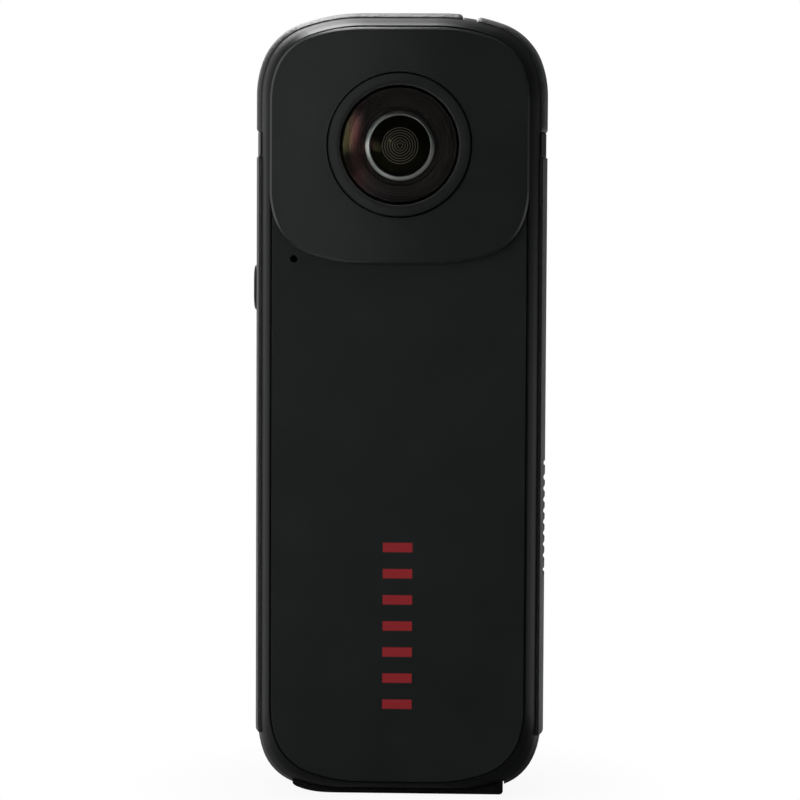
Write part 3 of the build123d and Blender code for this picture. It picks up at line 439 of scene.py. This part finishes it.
# Material, then the CAD nodes that carry it
PAINT = (
    (anodised_frame(), "mid_frame", "optical_bracket"),
    (fine_plastic("cover_satin", *COVER_LOOK), "rear_cover"),
    (printed_cover(), "front_cover"),
    (matt_plate(), "front_lens_plate", "rear_lens_plate"),
    (grip_mat, "top_grip", "shoulder_grip", "side_grip", "battery_door"),
    (
        fine_plastic("latch_plastic", (0.012, 0.0125, 0.013), 0.45, 3600, 0.00001, 0.00012),
        "door_latch",
    ),
    (base_mat, "base_plate"),
    (bezel_mat, "front_lens_bezel", "rear_lens_bezel"),
    (bright_mat, "front_retaining_ring", "rear_retaining_ring"),
    (
        barrel_mat, "front_lens_barrel", "rear_lens_barrel", "left_relay_barrel",
        "right_relay_barrel", "battery_tray",
    ),
    (fine_plastic("seal_rubber", (0.012, 0.012, 0.012), 0.7, 2400, 0.00001, 0), "door_gasket"),
    (threaded_steel(), "tripod_socket"),
    (
        metal("plain_steel", (0.5, 0.5, 0.5), 0.32, 5200, 0.000004),
        "base_screws", "hinge_pins", "board_screws", "charging_socket",
    ),
    (dark_mesh(), "front_microphone", "rear_microphone"),
    (metal("tinned_sheet", (0.56, 0.56, 0.57), 0.38, 2600, 0.000008), "shield_can", "card_socket"),
    (metal("gold_contact", (0.83, 0.62, 0.27), 0.3, 3600, 0.000004), "battery_contacts", "antenna"),
    (metal("spreader_sheet", (0.5, 0.5, 0.52), 0.45, 2600, 0.00001), "heat_spreader"),
    (
        fine_plastic("chip_black", (0.02, 0.02, 0.021), 0.55, 3000, 0.00001, 0.0001),
        "processor", "speaker", "memory_card",
    ),
    (fine_plastic("battery_wrap", (0.03, 0.031, 0.034), 0.4, 2600, 0.000008, 0.0003), "battery"),
    (
        fine_plastic("button_satin", (0.012, 0.0125, 0.013), 0.34, 5200, 0.000005, 0.0002),
        "power_button", "shutter_button",
    ),
    (
        fine_plastic("sensor_package", (0.02, 0.024, 0.03), 0.25, 3000, 0.000005, 0.0001),
        "left_image_sensor", "right_image_sensor",
    ),
    (
        fine_plastic("display_panel", (0.008, 0.008, 0.010), 0.3, 3000, 0.000003, 0.0001),
        "display_module",
    ),
    (
        board_green("board_green"), "main_board", "port_board", "left_sensor_board",
        "right_sensor_board", "power_switch_board", "shutter_switch_board",
    ),
    (dome_mat, "front_dome_lens", "rear_dome_lens"),
    (clear_glass("prism_glass", (0.95, 0.96, 0.97), (1.0, 1.0, 1.0)), "front_prism", "rear_prism"),
    (inner_mat, "front_inner_lens", "rear_inner_lens"),
    (screen_glass(), "touch_glass"),
)
for shade, *names in PAINT:
    for name in names:
        mesh = nodes[name].data
        mesh.materials.clear()
        mesh.materials.append(shade.mat)


def add_piece(bm, name, shade, sharp, replaced):
    """Piece of the camera body that stands for a CAD node, smooth up to an angle."""
    mesh = bpy.data.meshes.new(name)
    bm.to_mesh(mesh)
    bm.free()
    for polygon in mesh.polygons:
        polygon.use_smooth = True
    mesh.set_sharp_from_angle(angle=math.radians(sharp))
    mesh.materials.append(shade.mat)
    piece = bpy.data.objects.new(name, mesh)
    scene.collection.objects.link(piece)
    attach(piece, "camera")
    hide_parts(replaced)


# Finer turned pieces of the lens stacks, at the CAD pieces' places, in millimetres
TURN_STEPS = 144
SHARP, GRIP_SHARP = 32, 40  # least angle of a sharp edge, in degrees


def arc_points(sphere, edge, top, steps):
    """Half section of a cap as (radius, depth) points, from its top to its edge."""
    last = math.asin(edge / sphere)
    angles = (last * i / steps for i in range(steps + 1))
    return [(sphere * math.sin(a), top - sphere * (1 - math.cos(a))) for a in angles]


def turned(name, profile, sense, shade, replaced, closed=True):
    """Piece turned about the lens axis from (radius, depth) points."""
    bm = bmesh.new()
    rings = []
    for radius, depth in profile:
        y = sense * depth * MM
        if radius < 1e-6:
            rings.append([bm.verts.new((0, y, LENS_Z * MM))])
            continue
        ring = []
        for i in range(TURN_STEPS):
            angle = 2 * math.pi * i / TURN_STEPS
            x, z = radius * math.cos(angle), LENS_Z + radius * math.sin(angle)
            ring.append(bm.verts.new((x * MM, y, z * MM)))
        rings.append(ring)
    pairs = list(zip(rings, rings[1:])) + ([(rings[-1], rings[0])] if closed else [])
    for a, b in pairs:
        if len(a) == 1 and len(b) == 1:
            continue
        for i in range(TURN_STEPS):
            j = (i + 1) % TURN_STEPS
            if len(a) == 1:
                bm.faces.new((a[0], b[i], b[j]))
            elif len(b) == 1:
                bm.faces.new((a[i], a[j], b[0]))
            else:
                bm.faces.new((a[i], a[j], b[j], b[i]))
    bmesh.ops.recalc_face_normals(bm, faces=bm.faces)
    add_piece(bm, name, shade, SHARP, replaced)


# R is a radius, H a height, T a thickness; the other sizes are depths from the body's middle
DOME_R, DOME_H, DOME_T, DOME_EDGE, DOME_FOOT = 9.2, 4.2, 1.5, 11.87, 10.45
BEZEL_FACE, BEZEL_SEAT = 12.15, 10.9
RIM_R = 9.22  # inside of the barrel's rim, around the dome
BORE_R = 8.3  # inside of the dome's rim, and the barrel's first step
STEPS, STEP_IN, STEP_DOWN = 7, 0.36, 0.24  # the barrel's steps, down to the lens cell
CELL_FACE, CELL_R = DOME_FOOT - 2.1, 4.67
CELL_FOOT = CELL_FACE - 2.0
BARREL_R, BARREL_BACK, OPENING_R = 10.9, 5.2, 3.9
INNER_R, INNER_H = 4.65, 0.9
DOME_SPHERE, INNER_SPHERE = (
    (edge**2 + rise**2) / (2 * rise) for edge, rise in ((DOME_R, DOME_H), (INNER_R, INNER_H))
)
DOME_STEPS, INNER_STEPS = 28, 18
for side, sense in (("front", -1), ("rear", 1)):
    top = DOME_EDGE + DOME_H
    outside = arc_points(DOME_SPHERE, DOME_R, top, DOME_STEPS)
    inside = arc_points(DOME_SPHERE - DOME_T, BORE_R, top - DOME_T, DOME_STEPS)
    turned(
        f"{side}_dome_glass",
        outside + [(DOME_R, DOME_FOOT), (BORE_R, DOME_FOOT)] + inside[::-1],
        sense, dome_mat, f"{side}_dome_lens", closed=False,
    )
    turned(
        f"{side}_bezel_ring",
        [
            (9.28, BEZEL_SEAT), (11.1, BEZEL_SEAT), (11.1, 11.87), (11.04, 12.03), (10.93, 12.11),
            (10.78, BEZEL_FACE), (9.62, BEZEL_FACE), (9.46, 12.08), (9.34, 11.96), (9.28, 11.8),
        ],
        sense, bezel_mat, f"{side}_lens_bezel",
    )
    baffle = []
    for i in range(STEPS):
        radius, depth = BORE_R - STEP_IN * i, DOME_FOOT - STEP_DOWN * i
        baffle += [(radius, depth), (radius, depth - STEP_DOWN)]
    turned(
        f"{side}_stepped_barrel",
        [(BARREL_R, BEZEL_SEAT), (RIM_R, BEZEL_SEAT), (RIM_R, DOME_FOOT)] + baffle
        + [
            (5.9, CELL_FACE), (CELL_R, CELL_FACE), (CELL_R, CELL_FOOT), (OPENING_R, CELL_FOOT),
            (OPENING_R, BARREL_BACK), (BARREL_R, BARREL_BACK),
        ],
        sense, barrel_mat, f"{side}_lens_barrel",
    )
    ring_points = [
        (CELL_R, 0.0), (5.3, 0.0), (5.3, 0.5), (5.26, 0.58), (4.78, 0.79), (4.72, 0.8), (4.6, 0.7),
        (4.6, 0.5),
    ]
    turned(
        f"{side}_bright_ring",
        [(radius, CELL_FACE + rise) for radius, rise in ring_points],
        sense, bright_mat, f"{side}_retaining_ring",
    )
    turned(
        f"{side}_coated_lens",
        arc_points(INNER_SPHERE, INNER_R, CELL_FACE + INNER_H, INNER_STEPS)
        + [(INNER_R, CELL_FOOT), (0, CELL_FOOT)],
        sense, inner_mat, f"{side}_inner_lens", closed=False,
    )


# Grips over the top, with softly rounded edges, in the CAD grips' places, in millimetres
# The body's outline: half width and height at the crest, how far the rim falls short of it, and
# the radii of a corner's three arcs at crest and rim
CREST_HALF, CREST_HIGH, SIDE_BULGE, TOP_BULGE = 22.6, 122.65, 2.5, 2.3
CREST_RADII, RIM_RADII = (28.2, 9.6, 15.1), (24.35, 8.85, 14.35)
ARC_ENDS = (20, 70)  # where a corner's three arcs meet, in degrees
GRIP_PROUD, GRIP_HALF, GRIP_FLOOR = 0.4, 6.35, -1.55
# Widths of the rounding along the edges and at the ends, its fall, and the wall below it
EDGE_RUN, END_RUN, EDGE_FALL, EDGE_WALL = 1.3, 0.55, 0.3, 0.12
EDGE_ROWS, END_ROWS = 6, 5
RIM_DEPTH, CROWN_RUN = 10.55, 15.0
SIN1, SIN2 = (math.sin(math.radians(a)) for a in ARC_ENDS)
COS1, COS2 = (math.cos(math.radians(a)) for a in ARC_ENDS)


def fall_share(depth):
    """Share of the fall from the crest to the rim at a depth from the middle."""
    def fall(place):
        return 1 - math.sqrt(1 - (place / CROWN_RUN) ** 2)
    return fall(depth) / fall(RIM_DEPTH)


def outline_spot(kind, value, share, proud):
    """Point (x, z) of the body's outline, named by its side and a place on that side."""
    half = CREST_HALF - share * SIDE_BULGE + proud
    high = CREST_HIGH - share * TOP_BULGE + proud
    one, two, three = (a + share * (b - a) + proud for a, b in zip(CREST_RADII, RIM_RADII))
    start = half - (one * SIN1 + two * (SIN2 - SIN1) + three * (1 - SIN2))
    if kind == "left":
        return -half, value
    if kind == "right":
        return half, value
    if kind == "top":
        return value * start, high
    if kind == "x":
        rise = math.asin((value - start) / one)
        return value, high - one * (1 - math.cos(rise))
    sense, angle = value
    turn = math.radians(angle)
    if angle <= ARC_ENDS[0]:
        x = start + one * math.sin(turn)
        z = high - one * (1 - math.cos(turn))
    elif angle <= ARC_ENDS[1]:
        x = start + one * SIN1 + two * (math.sin(turn) - SIN1)
        z = high - one * (1 - COS1) - two * (COS1 - math.cos(turn))
    else:
        x = start + one * SIN1 + two * (SIN2 - SIN1) + three * (math.sin(turn) - SIN2)
        z = high - one * (1 - COS1) - two * (COS1 - COS2) - three * (COS2 - math.cos(turn))
    return sense * x, z


def rounded_grip(name, stations, replaced):
    """Grip strip through (kind, value, how far into the rounded end) stations."""
    shares = [i / EDGE_ROWS for i in range(-EDGE_ROWS, EDGE_ROWS + 1)]
    flat = [(GRIP_HALF - EDGE_RUN) * share for share in shares]
    edge = [
        (GRIP_HALF - EDGE_RUN * (1 - share), EDGE_RUN * share) for share in shares if share > 0
    ]
    rows = [(-y, into) for y, into in edge[::-1]] + [(y, 0.0) for y in flat] + edge
    wall_foot = GRIP_PROUD - EDGE_FALL - EDGE_WALL
    bm = bmesh.new()
    rings = []
    for kind, value, inset in stations:
        walls, top = [], []
        for sense in (-1, 1):
            for share, proud in ((0.0, GRIP_FLOOR), (fall_share(GRIP_HALF), wall_foot)):
                x, z = outline_spot(kind, value, share, proud)
                walls.append(bm.verts.new((x * MM, sense * GRIP_HALF * MM, z * MM)))
        for y, into in rows:
            drop = EDGE_FALL * min(1.0, (into / EDGE_RUN) ** 2 + (inset / END_RUN) ** 2)
            x, z = outline_spot(kind, value, fall_share(y), GRIP_PROUD - drop)
            top.append(bm.verts.new((x * MM, y * MM, z * MM)))
        rings.append(walls[:2] + top + walls[:1:-1])
    for a, b in zip(rings, rings[1:]):
        for i in range(len(a)):
            j = (i + 1) % len(a)
            bm.faces.new((a[i], a[j], b[j], b[i]))
    bm.faces.new(rings[0][::-1])
    bm.faces.new(rings[-1])
    bmesh.ops.recalc_face_normals(bm, faces=bm.faces)
    add_piece(bm, name, grip_mat, GRIP_SHARP, replaced)


# Places along a grip's end: how far from its tip, and how far into the rounding
GRIP_END = [
    (END_RUN * i / END_ROWS, END_RUN * (1 - i / END_ROWS)) for i in range(END_ROWS + 1)
]
LAND_LOW, TOP_END, SHOULDER_START = 104.3, 9.5, 11.85
LAND_STEP, CORNER_STEP = 1.2, 3  # millimetres and degrees between stations
over_top = [("left", LAND_LOW + gap, inset) for gap, inset in GRIP_END]
over_top += [("left", LAND_LOW + LAND_STEP * i, 0.0) for i in range(1, 5)]
over_top += [("turn", (-1, angle), 0.0) for angle in range(90, -1, -CORNER_STEP)]
over_top += [("top", -1 + i / 4, 0.0) for i in range(1, 9)]
over_top += [("x", 6.9 + 0.5 * i, 0.0) for i in range(5)]
over_top += [("x", TOP_END - gap, inset) for gap, inset in GRIP_END[::-1]]
rounded_grip("top_grip_rounded", over_top, "top_grip")
shoulder = [("x", SHOULDER_START + gap, inset) for gap, inset in GRIP_END]
shoulder += [("x", SHOULDER_START + 0.8 * i, 0.0) for i in range(1, 5)]
shoulder += [("turn", (1, angle), 0.0) for angle in range(ARC_ENDS[0], 91, CORNER_STEP)]
shoulder += [("turn", (1, 90), 0.0)]
shoulder += [("right", LAND_LOW + LAND_STEP * i, 0.0) for i in range(4, 0, -1)]
shoulder += [("right", LAND_LOW + gap, inset) for gap, inset in GRIP_END[::-1]]
rounded_grip("shoulder_grip_rounded", shoulder, "shoulder_grip")


# Base plate, its underside swept up towards its left end as in the photograph
SWEEP_START, SWEEP_END, SWEEP_RISE, SWEEP_POWER, PLATE_THICK = 9.0, 16.65, 1.25, 3.2, 2.4
SWEEP_CUTS, SWEEP_PITCH = 10, 0.75


def swept_base():
    """Finer base plate: the CAD plate's own form with its left end curved up."""
    bm = bmesh.new()
    bm.from_mesh(nodes["base_plate"].data)
    bmesh.ops.remove_doubles(bm, verts=bm.verts, dist=1e-6)
    for i in range(SWEEP_CUTS):
        spot = -(SWEEP_START + SWEEP_PITCH * i) * MM
        parts = bm.verts[:] + bm.edges[:] + bm.faces[:]
        bmesh.ops.bisect_plane(bm, geom=parts, plane_co=(spot, 0, 0), plane_no=(1, 0, 0))
    for vert in bm.verts:
        along = (-vert.co.x / MM - SWEEP_START) / (SWEEP_END - SWEEP_START)
        if along > 0:
            rise = SWEEP_RISE * along**SWEEP_POWER
            vert.co.z += rise * MM * max(0.0, 1 - vert.co.z / MM / PLATE_THICK)
    add_piece(bm, "base_plate_swept", base_mat, SHARP, "base_plate")


swept_base()


# Studio: pale floor, plain world, soft lamps, and cards that only shiny surfaces see
def studio_sheet(name, half, shade):
    """Square sheet of the studio, which isn't part of the object."""
    mesh = bpy.data.meshes.new(name)
    corners = [(-half, -half, 0), (half, -half, 0), (half, half, 0), (-half, half, 0)]
    mesh.from_pydata(corners, [], [(0, 1, 2, 3)])
    mesh.materials.append(shade.mat)
    sheet = bpy.data.objects.new(name, mesh)
    scene.collection.objects.link(sheet)
    return sheet


def pale_floor():
    """White to the eye; shiny surfaces see it dim in front and pale behind and beside."""
    shade = Shade("floor_pale", (0.55, 0.55, 0.55), 0.9, Specular_IOR_Level=0.1)
    path = shade.add("LightPath")
    x, y, _ = shade.axes(shade.coord)
    squares = shade.math("ADD", shade.math("MULTIPLY", x, x), shade.math("MULTIPLY", y, y))
    off_middle = shade.math("SQRT", squares)
    white = shade.span(off_middle, 0.93, 1.0, start=0.02, end=0.05, smooth=True)
    seen = shade.math("MULTIPLY", path.outputs["Is Camera Ray"], white)
    glow = shade.add("Emission")
    shade.feed(glow.inputs["Strength"], 1.0)
    to_the_eye = shade.blend(seen, shade.shader.outputs[0], glow.outputs[0])

    patch = 0.1  # half width of the pale strip at the left, and how far left its middle is
    beside = shade.math("SUBTRACT", patch, shade.math("ABSOLUTE", shade.math("ADD", x, patch)))
    nearest = shade.math("MAXIMUM", beside, y)
    pale = shade.span(nearest, 0.06, 0.6, start=0.0, end=0.06, smooth=True)
    through = shade.math("MULTIPLY", path.outputs["Is Transmission Ray"], 0.24)
    dim = shade.add("Emission")
    shade.feed(dim.inputs["Strength"], shade.math("MAXIMUM", pale, through))
    out = shade.blend(path.outputs["Is Glossy Ray"], to_the_eye, dim.outputs[0])
    shade.feed(shade.tree.nodes["Material Output"].inputs["Surface"], out)
    return shade


studio_sheet("floor", 6, pale_floor())


def studio_world():
    """White to the eye and dim as light; shiny surfaces see a backdrop behind the object."""
    world = bpy.data.worlds.new("studio")
    world.use_nodes = True
    air = Graph(world.node_tree)
    path = air.add("LightPath")
    x, y, _ = air.axes(air.add("TexCoord").outputs["Generated"])
    behind = air.span(y, 0.05, 0.75, start=0.3, end=0.9, smooth=True)
    aside = air.span(x, 1.0, 0.12, start=-0.2, end=0.25, smooth=True)
    backdrop = air.math("MULTIPLY", behind, aside)
    room = air.mix(path.outputs["Is Glossy Ray"], (0.16, 0.165, 0.17, 1), backdrop)
    shown = air.mix(path.outputs["Is Camera Ray"], room, (1, 1, 1, 1))
    air.feed(world.node_tree.nodes["Background"].inputs["Color"], shown)
    return world


scene.world = studio_world()

# Name, place, aim, size in metres, watts
LAMPS = (
    ("top_light", (-0.1, -0.12, 0.75), (0, 0, 0.06), (0.5, 0.5), 3.4),
    ("left_light", (-0.75, -0.35, 0.25), (0, 0, 0.07), (0.25, 0.6), 3.6),
    ("right_light", (0.8, -0.3, 0.2), (0, 0, 0.06), (0.25, 0.5), 0.5),
    ("front_light", (-0.45, -0.95, 0.75), (0, 0, 0.07), (0.5, 0.4), 1.8),
    ("back_light", (0.3, 0.9, 0.6), (0, 0, 0.07), (0.6, 0.5), 2.6),
)
for name, place, aim, size, watts in LAMPS:
    data = bpy.data.lights.new(name, "AREA")
    data.shape = "RECTANGLE"
    data.size, data.size_y = size
    data.energy = watts
    lamp = bpy.data.objects.new(name, data)
    scene.collection.objects.link(lamp)
    lamp.location = place
    lamp.rotation_euler = (Vector(aim) - Vector(place)).to_track_quat("-Z", "Y").to_euler()
    lamp.visible_glossy = lamp.visible_transmission = False


def card_glow(name, half, strength):
    """Glow in the middle of a card that fades to nothing at its rim."""
    shade = Shade(f"{name}_glow", (0, 0, 0), 1.0)
    length = shade.add("VectorMath", operation="LENGTH")
    shade.feed(length.inputs[0], shade.coord)

    def fade(middle, rim):
        return shade.span(length.outputs["Value"], middle, rim, half * 0.25, half, smooth=True)

    glow = shade.add("Emission")
    shade.feed(glow.inputs["Strength"], fade(strength, 0.0))
    clear = fade(0.0, 1.0)
    out = shade.blend(clear, glow.outputs[0], shade.add("BsdfTransparent").outputs[0])
    shade.feed(shade.tree.nodes["Material Output"].inputs["Surface"], out)
    return shade


# Name, place, half width in metres, strength; all face the lens
CARD_AIM = (0, 0, 0.1)
CARDS = (
    ("left_card", (-0.66, 0.0, 0.28), 0.46, 1.6),
    ("top_card", (-0.16, 0.34, 0.7), 0.3, 24.0),
    ("front_card", (-0.6, -0.66, 0.02), 0.36, 3.0),
    ("back_card", (-0.2, 0.72, 0.44), 0.3, 5.5),
    ("glint_card", (-0.27, -0.9, 0.2), 0.09, 26.0),
)
for name, place, half, strength in CARDS:
    card = studio_sheet(name, half, card_glow(name, half, strength))
    card.location = place
    card.rotation_euler = (Vector(CARD_AIM) - Vector(place)).to_track_quat("Z", "Y").to_euler()
    card.visible_camera = card.visible_diffuse = card.visible_shadow = False

# Camera at the photograph's place
yaw, pitch, roll = (math.radians(angle) for angle in (2.17, 3.27, 0.29))
reach = 0.43
target = Vector((0, 0, 0.06095))
picture = 800  # width in pixels
away = Vector((math.sin(yaw) * math.cos(pitch), -math.cos(yaw) * math.cos(pitch), math.sin(pitch)))
camera_data = bpy.data.cameras.new("camera")
camera_data.sensor_width = 36
camera_data.lens = 121.5
camera_data.shift_x = -0.95 / picture
camera_data.shift_y = 6.34 / picture
camera_data.clip_start = 0.01
camera = bpy.data.objects.new("camera", camera_data)
scene.collection.objects.link(camera)
facing = (-away).to_track_quat("-Z", "Y").to_matrix().to_4x4()
camera.matrix_world = (
    Matrix.Translation(target + away * reach) @ facing @ Matrix.Rotation(roll, 4, "Z")
)
scene.camera = camera
scene.view_settings.view_transform = "Standard"
